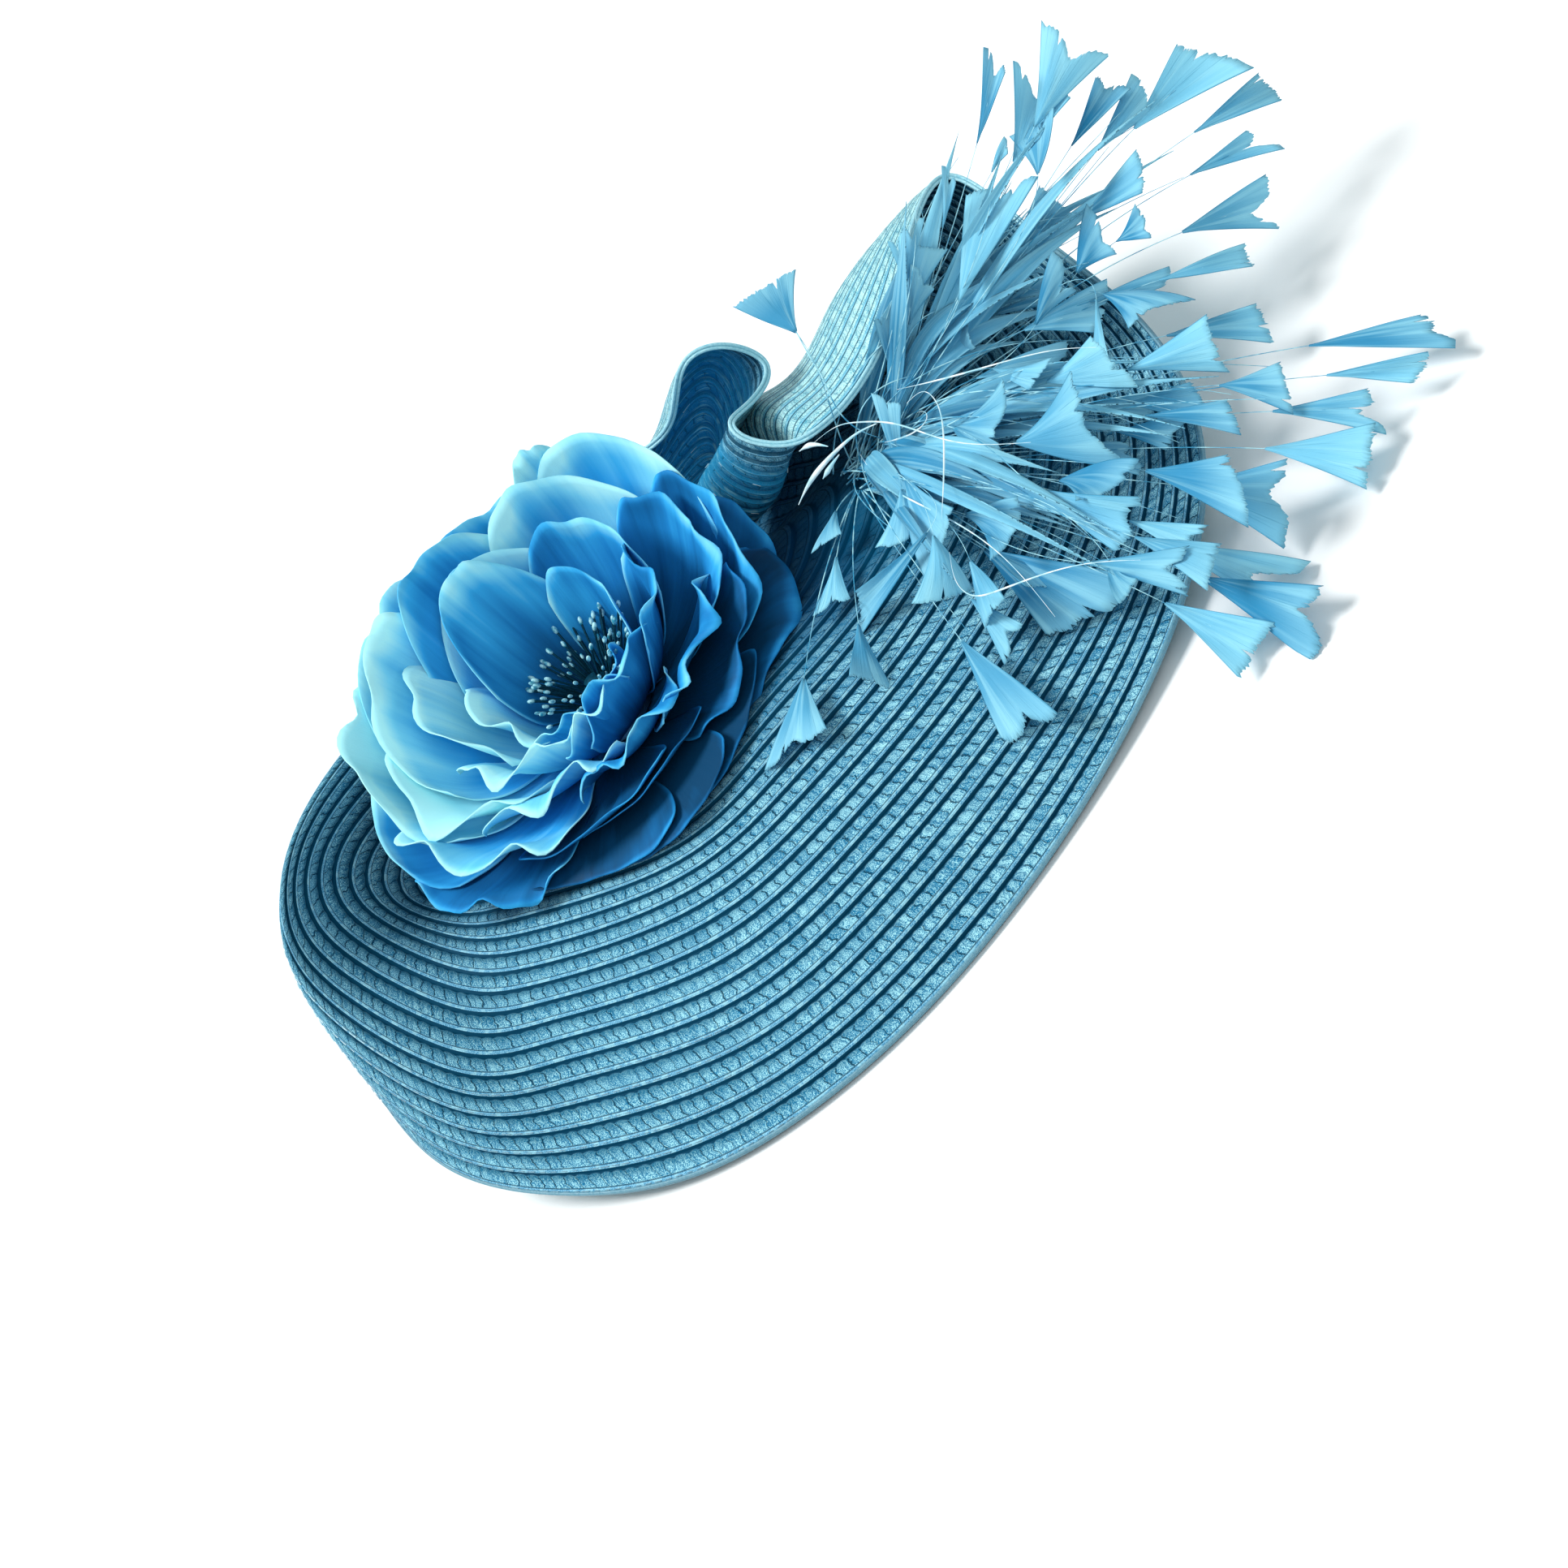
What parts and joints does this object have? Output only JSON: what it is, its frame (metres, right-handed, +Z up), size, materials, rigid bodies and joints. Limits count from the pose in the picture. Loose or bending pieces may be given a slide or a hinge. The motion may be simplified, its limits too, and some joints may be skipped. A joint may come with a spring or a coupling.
{
  "type": "sinamay fascinator",
  "caption": "Wide wavy straw-braid fascinator with a folded wing, a large layered silk flower and a spray of trimmed feathers on a plain head ring.",
  "frame": {"origin": "centre of the bounding box on the plane that the head ring rests on", "axes": "+X to the wearer's left, which is the right of the picture, +Y away from the picture's viewer, +Z up"},
  "size_m": [0.526, 0.3399, 0.1506],
  "materials": {
    "straw": "plaited straw braid",
    "band": "plain straw band",
    "felt": "felt",
    "petal": "thin matt silk",
    "stamen": "thread",
    "feather": "trimmed feather"
  },
  "bodies": {
    "root": {"brim": "straw", "head_ring": "band", "flower_base": "felt", "outer_petals": "petal", "second_petals": "petal", "third_petals": "petal", "fourth_petals": "petal", "inner_petals": "petal", "stamens": "stamen", "feather_spray": "feather"}
  },
  "joints": []
}
